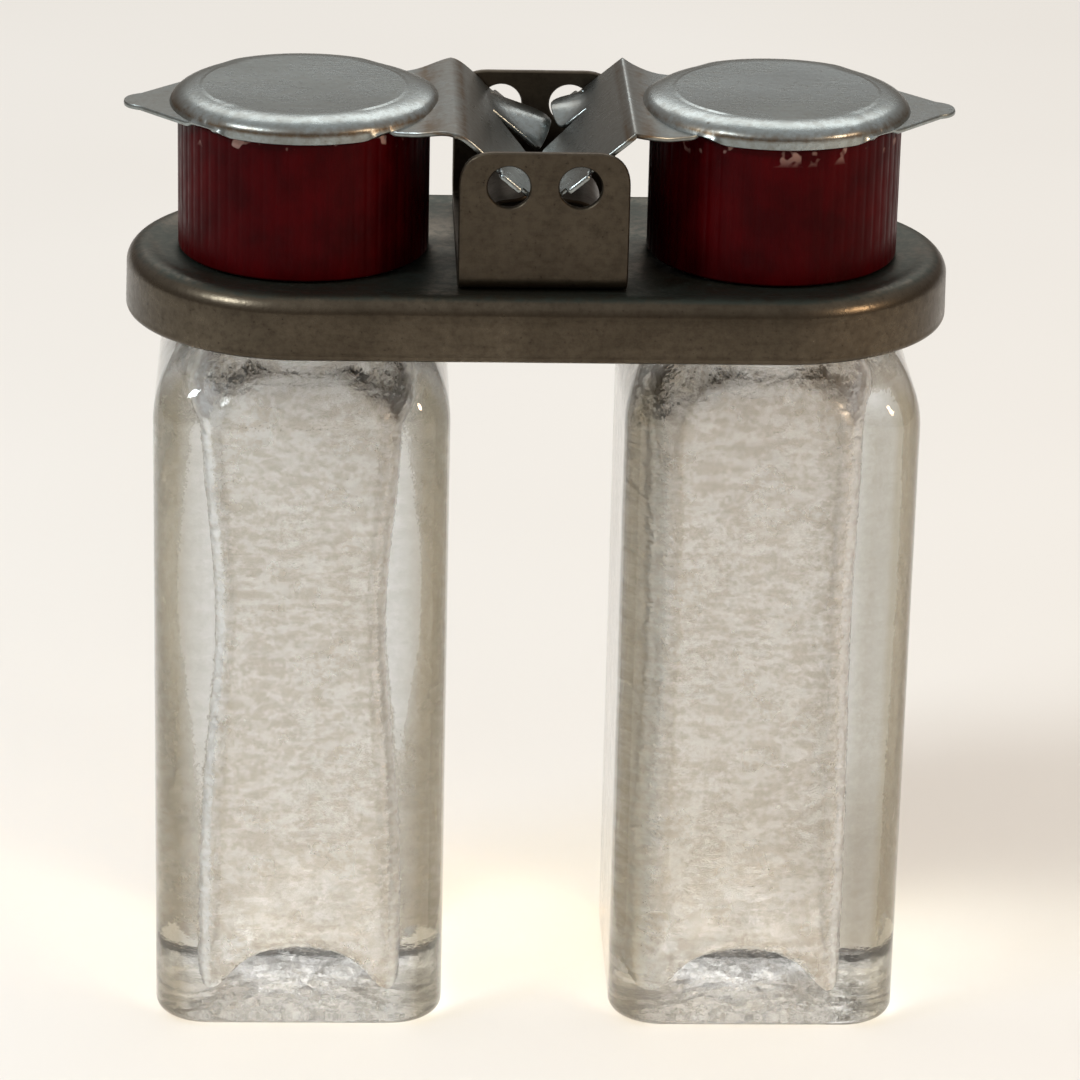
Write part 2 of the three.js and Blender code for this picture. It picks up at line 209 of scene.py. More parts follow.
def sheet_metal(points, triangles, thickness, bulge=0.28, steps=4):
    """A closed sheet: points are its outer face, and its cut edges are rounded."""
    points = np.asarray(points, float)
    sides = points[triangles]
    across = np.cross(sides[:, 1] - sides[:, 0], sides[:, 2] - sides[:, 0])
    normal = np.zeros_like(points)
    for corner in range(3):
        np.add.at(normal, triangles[:, corner], across)
    normal /= np.maximum(np.linalg.norm(normal, axis=1), 1e-12)[:, None]
    directed = {(t[k - 1], t[k]) for t in triangles.tolist() for k in range(3)}
    border = sorted(e for e in directed if (e[1], e[0]) not in directed)
    outward = np.zeros_like(points)
    for a, b in border:
        along = points[b] - points[a]
        along /= max(np.linalg.norm(along), 1e-12)
        for v in (a, b):
            outward[v] += np.cross(along, normal[v])
    outward /= np.maximum(np.linalg.norm(outward, axis=1), 1e-12)[:, None]
    count = len(points)
    layers = [points, points - thickness * normal]
    faces = [tuple(t) for t in triangles.tolist()]
    faces += [(c + count, b + count, a + count) for a, b, c in triangles.tolist()]
    edge_points = sorted({v for e in border for v in e})
    place = {v: i for i, v in enumerate(edge_points)}
    rows = [lambda v: v]
    extra = []
    middle = points - normal * thickness / 2
    for k in range(1, steps):
        angle = math.pi / 2 - math.pi * k / steps
        ring = middle + normal * (thickness / 2 * math.sin(angle))
        ring = ring + outward * (bulge * thickness * math.cos(angle))
        start = 2 * count + len(extra) * len(edge_points)
        extra.append(ring[edge_points])
        rows.append(lambda v, start=start: start + place[v])
    rows.append(lambda v: v + count)
    for upper, lower in zip(rows, rows[1:]):
        faces += [(upper(b), upper(a), lower(a), lower(b)) for a, b in border]
    return np.vstack(layers + extra), faces


def rounded(corners, radii, steps):
    """A polygon with its corners rounded; radii is one number, or one for each corner."""
    corners = [np.array(c, float) for c in corners]
    if not hasattr(radii, "__len__"):
        radii = [radii] * len(corners)
    outline = []
    for i, corner in enumerate(corners):
        before, after = corners[i - 1] - corner, corners[(i + 1) % len(corners)] - corner
        reach = [np.linalg.norm(before), np.linalg.norm(after)]
        before, after = before / reach[0], after / reach[1]
        half = math.acos(max(-1, min(1, float(before @ after)))) / 2
        if radii[i] <= 0 or half > math.radians(88):
            outline.append(tuple(corner))
            continue
        back = min(radii[i] / math.tan(half), 0.48 * min(reach))
        start, end = corner + before * back, corner + after * back
        for k in range(steps + 1):
            t = k / steps
            outline.append(tuple((1 - t) ** 2 * start + 2 * t * (1 - t) * corner + t * t * end))
    return outline


def resampled(loop, spacing):
    """The same closed outline with more points on its long edges."""
    result = []
    for a, b in zip(loop, loop[1:] + loop[:1]):
        a, b = np.array(a), np.array(b)
        pieces = max(1, round(float(np.linalg.norm(b - a)) / spacing))
        result += [tuple(a + (b - a) * k / pieces) for k in range(pieces)]
    return result


def circle(x, y, radius, count=40):
    return [(x + radius * math.cos(k * TURN / count), y + radius * math.sin(k * TURN / count))
            for k in range(count)]


def polar(radius, degrees):
    return (radius * math.cos(math.radians(degrees)), radius * math.sin(math.radians(degrees)))


def smooth(t):
    """0 to 1 with a soft start and end."""
    t = np.clip(t, 0, 1)
    return t * t * (3 - 2 * t)


def path_runs(path):
    """The distance run at each point of a path."""
    return np.concatenate([[0], np.cumsum(np.hypot(*np.diff(path, axis=0).T))])


def along_path(path, distance):
    """Places at the given distances along a path of (a, b) points."""
    path = np.asarray(path, float)
    run = path_runs(path)
    return np.interp(distance, run, path[:, 0]), np.interp(distance, run, path[:, 1])


def path_length(path):
    return float(np.hypot(*np.diff(np.asarray(path, float), axis=0).T).sum())


def waves(x, y, z):
    """Smooth noise around 0 at each of the places."""
    return np.array([noise.noise(Vector(place)) for place in np.broadcast(x, y, z)])


def arc(cx, cz, radius, start, end, steps):
    """Points of an arc between two angles in degrees."""
    angles = np.radians(np.linspace(start, end, steps + 1))
    return [(cx + radius * math.cos(a), cz + radius * math.sin(a)) for a in angles]


def curve(start, pull, end, steps):
    """A smooth stretch from start to end, drawn towards the pull point."""
    a, b, c = (np.array(p, float) for p in (start, pull, end))
    return [tuple((1 - t) ** 2 * a + 2 * t * (1 - t) * b + t * t * c) for t in np.linspace(0, 1, steps + 1)]


def grid(x0, x1, y0, y1, dx, dy):
    """Points dx and dy apart over a rectangle."""
    xs = np.arange(x0 + dx / 2, x1, dx)
    ys = np.arange(y0 + dy / 2, y1, dy)
    return np.array([(x, y) for x in xs for y in ys])


# ---- materials ----
def node(tree, kind, inputs=None, **settings):
    """A shader node; each input is a plain value or another node's output."""
    made = tree.nodes.new("ShaderNode" + kind)
    for key, value in settings.items():
        setattr(made, key, value)
    for key, value in (inputs or {}).items():
        if isinstance(value, bpy.types.NodeSocket):
            tree.links.new(value, made.inputs[key])
        else:
            made.inputs[key].default_value = value
    return made


def new_material(name):
    material = bpy.data.materials.new(name)
    material.use_nodes = True
    material.node_tree.nodes.clear()
    return material, material.node_tree


def principled(tree, **inputs):
    """A Principled shader's output; an underscore stands for a space in an input's name."""
    return node(tree, "BsdfPrincipled", {key.replace("_", " "): v for key, v in inputs.items()}).outputs[0]


def finished(material, surface):
    node(material.node_tree, "OutputMaterial", {"Surface": surface})
    return material


def grain(tree, scale, detail=3.0, stretch=(1, 1, 1), roughness=0.55, shift=(0, 0, 0)):
    """Noise in the object's own place, from 0 to 1; scale is in features per metre."""
    where = node(tree, "TexCoord").outputs["Object"]
    moved = node(tree, "Mapping", {"Vector": where, "Scale": stretch, "Location": shift}).outputs[0]
    inputs = {"Vector": moved, "Scale": scale, "Detail": detail, "Roughness": roughness}
    return node(tree, "TexNoise", inputs).outputs["Fac"]


def ramp(tree, value, low, high, start=0.0, end=1.0):
    """start to end as the value goes from low to high, and level past both."""
    inputs = {"Value": value, "From Min": low, "From Max": high, "To Min": start, "To Max": end}
    return node(tree, "MapRange", inputs).outputs["Result"]


def mixed(tree, factor, a, b):
    """Colour a where the factor is 0, and b where it is 1."""
    return node(tree, "Mix", {0: factor, 6: a, 7: b}, data_type="RGBA").outputs[2]


def math_node(tree, operation, a, b=0.0, clamp=False):
    return node(tree, "Math", {0: a, 1: b}, operation=operation, use_clamp=clamp).outputs[0]


def times(tree, a, b, clamp=False):
    return math_node(tree, "MULTIPLY", a, b, clamp)


def plus(tree, a, b):
    return math_node(tree, "ADD", a, b)


def bump(tree, height, distance, strength, below=None):
    inputs = {"Height": height, "Distance": distance, "Strength": strength}
    if below is not None:
        inputs["Normal"] = below
    return node(tree, "Bump", inputs).outputs["Normal"]


def rgb(red, green, blue):
    """A colour given as 0 to 255 on screen, as linear light."""
    def linear(v):
        v /= 255
        return v / 12.92 if v <= 0.04045 else ((v + 0.055) / 1.055) ** 2.4
    return (linear(red), linear(green), linear(blue), 1.0)


def aged_metal(name, worn, base, stain, rough, brushing, seed, stain_share=0.5, speck=0.5, gleam=0.9,
               patina_and_painted_reflection=None):
    """Old plated metal, worn and mottled. The last argument is a colour and what says where it lies; on the
    lids' rims it is also a painted reflection.
    """
    material, tree = new_material(name)
    shift = (seed, seed * 0.7, seed * 0.3)
    patches = grain(tree, 90, 4, shift=shift)
    mottle = grain(tree, 1100, 5, shift=shift, roughness=0.7)
    lines = grain(tree, 700, 3, brushing, 0.6, shift)
    specks = grain(tree, 2200, 2, shift=shift)
    colour = mixed(tree, ramp(tree, patches, 0.32, 0.68), worn, base)
    stained = times(tree, ramp(tree, mottle, 0.42, 0.7), stain_share, True)
    colour = mixed(tree, stained, colour, stain)
    colour = mixed(tree, ramp(tree, lines, 0.35, 0.7, 0.0, 0.2), colour, worn)
    dark = tuple(0.35 * c for c in stain[:3]) + (1.0,)
    colour = mixed(tree, ramp(tree, specks, 0.68, 0.78, 0.0, speck), colour, dark)
    uneven = plus(tree, times(tree, mottle, 0.5), times(tree, patches, 0.5))
    roughness = ramp(tree, uneven, 0.3, 0.7, rough[0], rough[1])
    if patina_and_painted_reflection:
        share = patina_and_painted_reflection[1](tree, patches, mottle)
        colour = mixed(tree, share, colour, patina_and_painted_reflection[0])
        roughness = plus(tree, roughness, times(tree, share, 0.14))
    normal = bump(tree, lines, 0.00002, 0.3)
    normal = bump(tree, mottle, 0.00005, 0.35, normal)
    normal = bump(tree, specks, 0.00002, 0.4, normal)
    return finished(material, principled(
        tree, Base_Color=colour, Metallic=gleam, Roughness=roughness, Normal=normal))


def place_axes(tree):
    """The x, y and z of the place on the object, in metres."""
    return node(tree, "SeparateXYZ", {0: node(tree, "TexCoord").outputs["Object"]}).outputs


def lid_tarnish_and_painted_reflection(tree, patches, mottle):
    """A little brown tarnish on the legs, and more brown low on the rim's side, which is tarnish and also a
    painted reflection of the dim brown room, in uneven patches.
    """
    x, _, z = place_axes(tree)
    legs = ramp(tree, math_node(tree, "ABSOLUTE", x), 13.5 * MM, 8.5 * MM, 0.0, 0.2)
    below_top = ramp(tree, z, (lid_high[2] - 0.4) * MM, (lid_high[2] - 1.3) * MM)
    above_flange = ramp(tree, z, (LID_PLATE + 0.1) * MM, (LID_PLATE + 0.4) * MM, 0.25, 1.0)
    # low on the rim's side the brown is tarnish and also a painted reflection of the dim room
    where = math_node(tree, "MAXIMUM", legs, times(tree, below_top, above_flange))
    return times(tree, where, ramp(tree, plus(tree, patches, mottle), 0.75, 1.15, 0.35, 0.95))


def tray_top_patches(tree, patches, mottle):
    """Dark grey-green patches on the flat top."""
    top = ramp(tree, place_axes(tree)[2], (TRAY_TOP - 0.25) * MM, (TRAY_TOP - 0.02) * MM)
    return times(tree, top, ramp(tree, plus(tree, patches, mottle), 0.85, 1.15, 0.25, 0.9))


def upright_corners(tree):
    """1 at the four rounded corners of either bottle, 0 on its flat walls: where the glass gets a darker
    painted shade.
    """
    x, y, _ = place_axes(tree)
    across = math_node(tree, "SUBTRACT", math_node(tree, "ABSOLUTE", x), SHAKER_X * MM)
    across = math_node(tree, "ABSOLUTE", across)
    deep = math_node(tree, "ABSOLUTE", y)
    return ramp(tree, math_node(tree, "MINIMUM", across, deep), 9.8 * MM, 12.5 * MM)


def clear_glass(name, tints_and_painted_sparkle, rough, haze, ripple, mottle, corner_painted_shade=None):
    """Thick pressed glass. Its spots mix the two colours given first: a tint of the glass, which in the
    foot and the inside is also painted sparkle and painted highlights.
    haze is the share that scatters light, ripple is the depth of its waves in metres and mottle their
    number in a metre."""
    material, tree = new_material(name)
    swells = grain(tree, mottle, 4, (1, 1, 2.4), 0.6)
    pits = grain(tree, 1700, 3)
    spots = plus(tree, times(tree, swells, 0.6), times(tree, pits, 0.4))
    colour = mixed(tree, ramp(tree, spots, 0.44, 0.56), tints_and_painted_sparkle[0], tints_and_painted_sparkle[1])
    if corner_painted_shade:
        # the rounded corners get a darker painted shade, standing in for the dark edges of thick glass
        colour = mixed(tree, upright_corners(tree), colour, corner_painted_shade)
    normal = bump(tree, swells, ripple, 0.8)
    normal = bump(tree, pits, ripple * 0.18, 0.8, normal)
    roughness = ramp(tree, grain(tree, 260, 4), 0.35, 0.7, rough[0], rough[1])
    glass = principled(tree, Base_Color=colour, Roughness=roughness, Normal=normal, IOR=1.5,
                       Transmission_Weight=1.0 - haze)
    clear = node(tree, "BsdfTransparent", {"Color": (0.93, 0.91, 0.87, 1)}).outputs[0]
    shadow = node(tree, "LightPath").outputs["Is Shadow Ray"]
    return finished(material, node(tree, "MixShader", {0: shadow, 1: glass, 2: clear}).outputs[0])


def cap_plastic(name, x, seed):
    """Old maroon plastic: faint upright streaks, worn gloss, pale chips along the top edge."""
    material, tree = new_material(name)
    shift = (seed, seed, 0)
    streaks = grain(tree, 500, 3, (1, 1, 0.05), 0.6, shift)
    cloud = grain(tree, 220, 4, shift=shift)
    scuffs = grain(tree, 1500, 3, (1, 1, 0.35), 0.6, shift)
    colour = mixed(tree, ramp(tree, cloud, 0.35, 0.7), rgb(46, 0, 2), rgb(64, 0, 3))
    colour = mixed(tree, ramp(tree, streaks, 0.5, 0.72, 0.0, 0.5), colour, rgb(40, 1, 2))
    place = node(tree, "TexCoord").outputs["Object"]
    centred = node(tree, "Mapping", {"Vector": place, "Location": (-x * MM, 0, 0), "Scale": (1, 1, 0)})
    reach = node(tree, "VectorMath", {0: centred.outputs[0]}, operation="LENGTH").outputs["Value"]
    radius = (cap_high[0] - cap_low[0]) / 2
    top = cap_high[2]
    near_top = ramp(tree, place_axes(tree)[2], (top - 2.6) * MM, (top - 1.2) * MM)
    outside = ramp(tree, reach, (radius - 1.4) * MM, (radius - 0.8) * MM)
    chips = ramp(tree, grain(tree, 420, 2, shift=shift), 0.61, 0.65)
    chipped = times(tree, times(tree, near_top, outside), chips, True)
    colour = mixed(tree, chipped, colour, rgb(150, 120, 112))
    roughness = ramp(tree, scuffs, 0.35, 0.7, 0.3, 0.5)
    normal = bump(tree, streaks, 0.00003, 0.4)
    normal = bump(tree, scuffs, 0.00001, 0.5, normal)
    return finished(material, principled(
        tree, Base_Color=colour, Roughness=roughness, Normal=normal, Specular_IOR_Level=0.05))


def dull(name, light, dark, scale, rough, depth):
    """A dull, grainy stuff such as cork or rubber."""
    material, tree = new_material(name)
    cells = grain(tree, scale, 5)
    fine = grain(tree, scale * 4, 3)
    colour = mixed(tree, ramp(tree, cells, 0.35, 0.65), dark, light)
    colour = mixed(tree, ramp(tree, fine, 0.6, 0.75, 0.0, 0.6), colour, dark)
    normal = bump(tree, cells, depth, 0.6)
    roughness = ramp(tree, fine, 0.3, 0.7, rough - 0.12, rough + 0.1)
    return finished(material, principled(tree, Base_Color=colour, Roughness=roughness, Normal=normal))


TRAY_METAL = aged_metal(
    "tray_plate", worn=rgb(90, 81, 68), base=rgb(67, 59, 48), stain=rgb(43, 33, 25), rough=(0.22, 0.42),
    brushing=(0.25, 3, 3), seed=0.11, patina_and_painted_reflection=(rgb(58, 64, 58), tray_top_patches))
BRACKET_METAL = aged_metal(
    "bracket_plate", worn=rgb(82, 74, 62), base=rgb(66, 58, 48), stain=rgb(42, 34, 26), rough=(0.34, 0.5),
    brushing=(0.3, 1, 4), seed=0.37)
# the lids' brown overlay is tarnish, and low on the rim's side also a painted reflection
LID_METAL = aged_metal(
    "lid_plate", worn=rgb(166, 176, 178), base=rgb(138, 145, 144), stain=rgb(92, 80, 64), rough=(0.2, 0.34),
    brushing=(0.2, 3, 3), seed=0.73, stain_share=0.4, speck=0.6, gleam=1.0,
    patina_and_painted_reflection=(rgb(94, 78, 60), lid_tarnish_and_painted_reflection))
SPRING_STEEL = aged_metal(
    "spring_steel", worn=rgb(96, 88, 76), base=rgb(70, 62, 52), stain=rgb(50, 34, 24), rough=(0.3, 0.5),
    brushing=(4, 0.3, 4), seed=0.19)
# the outer glass's last colour is a painted shade for its rounded corners
GLASS = clear_glass(
    "bottle_glass", tints_and_painted_sparkle=((0.745, 0.76, 0.77, 1), (0.65, 0.665, 0.655, 1)), rough=(0.0, 0.04), haze=0.0,
    ripple=0.00006, mottle=330, corner_painted_shade=(0.34, 0.3, 0.215, 1))
# the inside's pale and beige spots are partly a tint of the glass and partly painted wavy highlights
INNER_GLASS = clear_glass(
    "bottle_glass_inside", tints_and_painted_sparkle=((1.0, 1.0, 1.0, 1), (0.7, 0.65, 0.585, 1)), rough=(0.05, 0.35), haze=0.22,
    ripple=0.0003, mottle=420)
# the foot's dark and pale spots are painted sparkle: the light and shade of the rough underside seen
# through the glass
FOOT_GLASS = clear_glass(
    "bottle_glass_foot", tints_and_painted_sparkle=((1.0, 1.0, 1.0, 1), (0.08, 0.075, 0.065, 1)), rough=(0.0, 0.2), haze=0.16,
    ripple=0.0006, mottle=480)
CORK = dull("cork", light=rgb(176, 140, 98), dark=rgb(120, 88, 58), scale=900, rough=0.85, depth=0.0001)
RUBBER = dull("liner_rubber", light=rgb(98, 90, 80), dark=rgb(66, 58, 50), scale=500, rough=0.7,
              depth=0.00005)


# ---- bottles ----
AROUND = 192
UNDERSIDE_RINGS = 8
FOOT = 1.6
SHOULDER = {"size": 4.6, "bend": 66.0, "top": 73.0}
NECK = {"radius": 9.45, "bore": 7.4, "bead": 12.0, "seat": 80.5, "lip": 0.7}
THREAD = {"turns": 1.5, "pitch": 3, "ridge": 0.85, "fade": 0.12, "below_lip": 1.6}
CAVITY = {"half": 10.3, "corner": 2.9, "ceiling": 69.8, "floor": 7.0, "cove": 2.0, "waist_at": 44,
          "waist_reach": 15}


def square_radius(angle, half, corner):
    """How far a rounded square reaches at each angle."""
    from_side = np.abs((angle + math.pi / 4) % (math.pi / 2) - math.pi / 4)
    straight = half / np.cos(from_side)
    middle = half - corner
    both = np.cos(from_side) + np.sin(from_side)
    curved = middle * both + np.sqrt(np.maximum(middle ** 2 * (both ** 2 - 2) + corner ** 2, 0))
    return np.where(half * np.tan(from_side) <= middle, straight, curved)


def outer_sections(half, top):
    """Rounded squares as (size, corner, height, share of the cavity's unevenness), from the
    middle of the underside up the walls and the neck, over the lip and down the bore."""
    arch = half - 3.4
    sizes = np.linspace(1.5, arch, UNDERSIDE_RINGS)
    squares = [(size, 0.15 + 1.1 * (1 - (size / arch) ** 2)) for size in sizes]
    squares.append((half - 2.6, 0.02))
    for a in np.radians(np.linspace(0, 90, 8)[1:]):
        squares.append((half - FOOT + FOOT * math.sin(a), FOOT * (1 - math.cos(a))))
    squares += [(half, z) for z in np.linspace(FOOT + 1.2, SHOULDER["bend"] - 1, 44)]
    sections = [(size, size / 3, z, 0.0) for size, z in squares]
    for k in range(15):
        a = math.radians(k * 84 / 14)
        size = half - SHOULDER["size"] * (1 - math.cos(a))
        z = SHOULDER["bend"] + (SHOULDER["top"] - SHOULDER["bend"]) * math.sin(a)
        sections.append((size, half / 3 + 4.2 * (k / 14) ** 2, z, 0.0))
    # from here on the rings are round
    neck, bead, seat, bore, lip = (NECK[key] for key in ("radius", "bead", "seat", "bore", "lip"))
    rounds = [(10.6, SHOULDER["top"] + 0.02)]
    rounds += arc(neck + 1.5, SHOULDER["top"] + 1.6, 1.5, 265, 180, 6)
    rounds.append((neck, seat - 2.4))
    rounds += arc(bead - 0.75, seat - 0.8, 0.75, -70, 80, 8)
    rounds.append((neck + 0.5, seat))
    rounds += [(neck, z) for z in np.arange(seat + 0.5, top - 0.8, 0.25)]
    rounds += arc(neck - lip, top - lip, lip, 0, 90, 5)
    rounds += arc(bore + lip, top - lip, lip, 90, 180, 5)
    rounds += [(bore, z) for z in np.linspace(top - 3, CAVITY["ceiling"] + 0.4, 14)]
    return sections + [(r, r, z, 0.0) for r, z in rounds]


def cavity_sections(waist):
    """The same for the cavity, from its ceiling to the middle of its floor."""
    half, corner, bore = CAVITY["half"], CAVITY["corner"], NECK["bore"]
    ceiling, floor, cove = CAVITY["ceiling"], CAVITY["floor"], CAVITY["cove"]
    sections = []
    for k in range(1, 9):
        t = k / 8
        size = bore + (half - bore) * math.sin(t * math.pi / 2)
        fall = 3.8 * (1 - math.cos(t * math.pi / 2))
        sections.append((size, bore + (corner - bore) * t, ceiling - fall, t))
    for z in np.arange(65.6, 9.4, -0.45):
        size = half - waist * math.exp(-(((z - CAVITY["waist_at"]) / CAVITY["waist_reach"]) ** 2))
        sections.append((size, corner - 0.3 * waist, z, 1.0))
    for k in range(1, 8):
        a = math.radians(k * 90 / 7)
        size = half - cove * (1 - math.cos(a))
        sections.append((size, corner - 0.05 * k, floor + cove - cove * math.sin(a), 1.0))
    for size in np.linspace(half - cove - 0.6, 0.8, 9):
        sections.append((size, size * 0.36, floor, 1.0))
    return sections


def thread_lift(angle, z, top):
    """How far the neck's thread stands out at each angle, at height z."""
    turns, pitch, ridge, fade = (THREAD[key] for key in ("turns", "pitch", "ridge", "fade"))
    start = top - THREAD["below_lip"] - turns * pitch
    lift = np.zeros(len(angle))
    for n in range(-1, 2):
        climb = angle / TURN + n
        inside = (climb > 0) & (climb < turns)
        ends = smooth(climb / fade) * smooth((turns - climb) / fade)
        height = ridge * np.clip(1 - ((z - start - climb * pitch) / ridge) ** 2, 0, 1) ** 0.5
        lift += np.where(inside, height * ends, 0)
    return lift


def bottle(side, name, waist, ripple, cavity_shift):
    """waist is how far the cavity pinches in, ripple the depth of its waves."""
    spread = np.arange(AROUND) * TURN / AROUND
    angle = spread + 0.55 / 4 * np.sin(4 * spread)
    half = (bottle_high[0] - bottle_low[0]) / 2
    top = bottle_high[2]
    neck, seat = NECK["radius"], NECK["seat"]
    outside = outer_sections(half, top)
    sections = outside + cavity_sections(waist)
    rings = np.zeros((len(sections), AROUND, 3))
    for i, (size, corner, z, cave) in enumerate(sections):
        r = square_radius(angle, size, corner)
        if seat < z < top - 0.8 and size == neck:
            r = r + thread_lift(angle, z, top)
        height = np.full(AROUND, float(z))
        x, y = r * np.cos(angle), r * np.sin(angle)
        if cave > 0:
            # the floor is a low dome, so its edge runs lower at the corners
            low = smooth((17 - height) / 9)
            height += low * cave * (1.2 - 1.24e-6 * (x ** 2 + y ** 2) ** 3)
            wave = waves(x / 5 + 9 * side, y / 5, height / 1.9) * 0.55
            wave += waves(x / 2.2, y / 2.2 + 5 * side, height / 1.3) * 0.3
            push = 1 + cave * ripple * wave / np.maximum(np.hypot(x, y), 3)
            x, y = x * push + cavity_shift * cave, y * push
        elif i < UNDERSIDE_RINGS:
            height = np.maximum(height + 0.45 * waves(x / 1.6, y / 1.6, 7 * side), 0.1)
        elif FOOT < z < SHOULDER["bend"]:
            wave = waves(x / 9 + 20 * side, y / 9, z / 14)
            push = 1 - 0.05 * np.abs(wave) / np.maximum(np.hypot(x, y), 3)
            x, y = x * push, y * push
        rings[i] = np.column_stack([side * SHAKER_X + x, y, height])
    points, faces = loft(rings)
    inner_from = len(outside) * AROUND
    foot_to = (UNDERSIDE_RINGS + 1) * AROUND
    foot_middle, floor_middle = len(points) - 2, len(points) - 1

    def glass_of(face):
        if min(face) >= inner_from or floor_middle in face:
            return 1
        return 2 if foot_middle in face or max(face) < foot_to else 0

    marks = [glass_of(face) for face in faces]
    return add_piece(f"{name}_bottle_glass", points, faces, [GLASS, INNER_GLASS, FOOT_GLASS],
                     f"{name}_bottle", f"{name}_bottle", marks, sharp=60)


# ---- caps ----
CAP = {"ribs": 60, "rib_points": 12, "groove": 0.05, "roof": 1.8, "bore": 10.65, "hole_points": 20}
CAP_SHARP = 40


def sprinkling_places(rings_of_holes, spacing):
    """One hole in the middle, and six in each ring round it."""
    places = [(0.0, 0.0)]
    for n in range(1, rings_of_holes + 1):
        places += [polar(n * spacing, k * 60 + n * 30) for k in range(6)]
    return places


def cap(side, name, rings_of_holes, spacing, hole):
    """A ribbed screw cap. Its roof is a flat face with sprinkling holes."""
    x = side * SHAKER_X
    around = CAP["ribs"] * CAP["rib_points"]
    angle = np.arange(around) * TURN / around
    radius = (cap_high[0] - cap_low[0]) / 2
    foot, top = cap_low[2], cap_high[2]
    groove = CAP["groove"] * (0.5 + 0.5 * np.cos(angle * CAP["ribs"])) ** 3

    def ring(r, z, share):
        reach = r - share * groove
        return np.column_stack([x + reach * np.cos(angle), reach * np.sin(angle), np.full(around, z)])

    bore, roof = CAP["bore"], top - CAP["roof"]
    skin = [ring(bore - 0.2, roof, 0)]
    skin += [ring(bore, z, 0) for z in (roof - 0.2, foot + 6, foot + 0.4)]
    skin += [ring(bore + 0.3, foot, 0), ring(radius - 0.5, foot, 0)]
    skin += [ring(r, z, 0.3) for r, z in arc(radius - 0.3, foot + 0.3, 0.3, -60, 0, 3)]
    skin += [ring(radius, z, 1.0) for z in np.linspace(foot + 0.8, top - 1.3, 12)]
    shoulder = arc(radius - 0.8, top - 0.8, 0.8, 0, 90, 7)
    skin += [ring(r, z, share) for (r, z), share in zip(shoulder, np.linspace(0.9, 0, 8))]
    points = list(skin)
    faces = band_faces(len(skin), around)

    places = sprinkling_places(rings_of_holes, spacing)
    wide = hole + 0.2
    count = CAP["hole_points"]
    for z, rim, size in ((top, skin[-1], wide), (roof, skin[0], hole)):
        loops = [[tuple(p) for p in rim[:, :2]]] + [circle(x + a, b, size, count) for a, b in places]
        flat, triangles = triangulated(loops, [])
        start = sum(len(p) for p in points)
        points.append(np.column_stack([flat, np.full(len(flat), z)]))
        order = triangles if z == top else triangles[:, ::-1]
        faces += [tuple(int(v) + start for v in t) for t in order]
    for a, b in places:
        walls = turned_rings([(hole, roof), (hole, top - 0.2), (wide, top)], count, x + a, b)
        start = sum(len(p) for p in points)
        points.append(walls.reshape(-1, 3))
        faces += [(q[1], q[0], q[3], q[2]) for q in band_faces(len(walls), count, start)]
    plastic = cap_plastic(f"{name}_cap_plastic", x, 0.4 + side)
    piece = add_piece(f"{name}_cap_shell", np.vstack(points), faces, [plastic], f"{name}_cap",
                      f"{name}_cap", sharp=CAP_SHARP)
    weld(piece, CAP_SHARP)
    return piece


def weld(piece, sharp):
    """Joins points that meet."""
    mesh = bmesh.new()
    mesh.from_mesh(piece.data)
    bmesh.ops.remove_doubles(mesh, verts=mesh.verts, dist=0.002 * MM)
    mesh.to_mesh(piece.data)
    mesh.free()
    piece.data.set_sharp_from_angle(angle=math.radians(sharp))


# ---- tray ----
TRAY = {"crest": 4.2, "sheet": 0.7, "neck_hole": 10.9}


def stadium(distance):
    """An outline at this distance from the line between the two shakers' axes."""
    steps = 84
    ring = []
    for end in (1, -1):
        for k in range(steps + 1):
            a = (k / steps - 0.5) * math.pi + (0 if end > 0 else math.pi)
            ring.append((end * SHAKER_X + distance * math.cos(a), distance * math.sin(a)))
    return resampled(ring, 1.2)


def tray():
    """The pressed tray: a stadium, flat inside a low crest, with a rolled edge below."""
    radius = tray_high[1]
    low = tray_low[2]
    flat = radius - TRAY["crest"]
    top = TRAY_TOP
    path = [(flat, top), (flat + 0.6, top), (flat + 1.3, top + 0.1), (flat + 1.9, top + 0.25)]
    path += arc(radius - 2.05, top - 1.75, 2.0, 84, 8, 12)
    path += [(radius - 0.05, low + 3.6), (radius - 0.02, low + 1.9), (radius, low + 1.3)]
    path += arc(radius - 0.6, low + 0.75, 0.6, 20, -70, 6)
    rings = [p for run in path_runs(path)[:-1] for p in stadium(flat + run)]
    loops = [stadium(flat + path_length(path))]
    for side in (-1, 1):
        loops.append(circle(side * SHAKER_X, 0, TRAY["neck_hole"], 96)[::-1])
        loops.append(circle(0, side * RIVET_Y, RIVET_HOLE, 20)[::-1])
    points, triangles = triangulated(loops, rings, 0.05)
    spine = np.column_stack([np.clip(points[:, 0], -SHAKER_X, SHAKER_X), np.zeros(len(points))])
    away = points - spine
    distance = np.hypot(*away.T)
    r, z = along_path(path, np.maximum(distance - flat, 0))
    r = np.where(distance > flat, r, distance)
    spot = spine + away / np.maximum(distance, 1e-9)[:, None] * r[:, None]
    height = np.where(distance > flat, z, top)
    bend = waves(spot[:, 0] / 16, spot[:, 1] / 16, height / 9)
    spot = spot - 0.05 * np.abs(bend)[:, None] * away / np.maximum(distance, 1)[:, None]
    body, faces = sheet_metal(np.column_stack([spot, height]), triangles, TRAY["sheet"])
    return add_piece("tray_pressing", body, faces, [TRAY_METAL], "frame", "tray", sharp=50)


# ---- hinge bracket ----
BRACKET = {"bend": 1.5, "corner": 3.36, "sheet": 0.8, "ear_hole": 2.25}


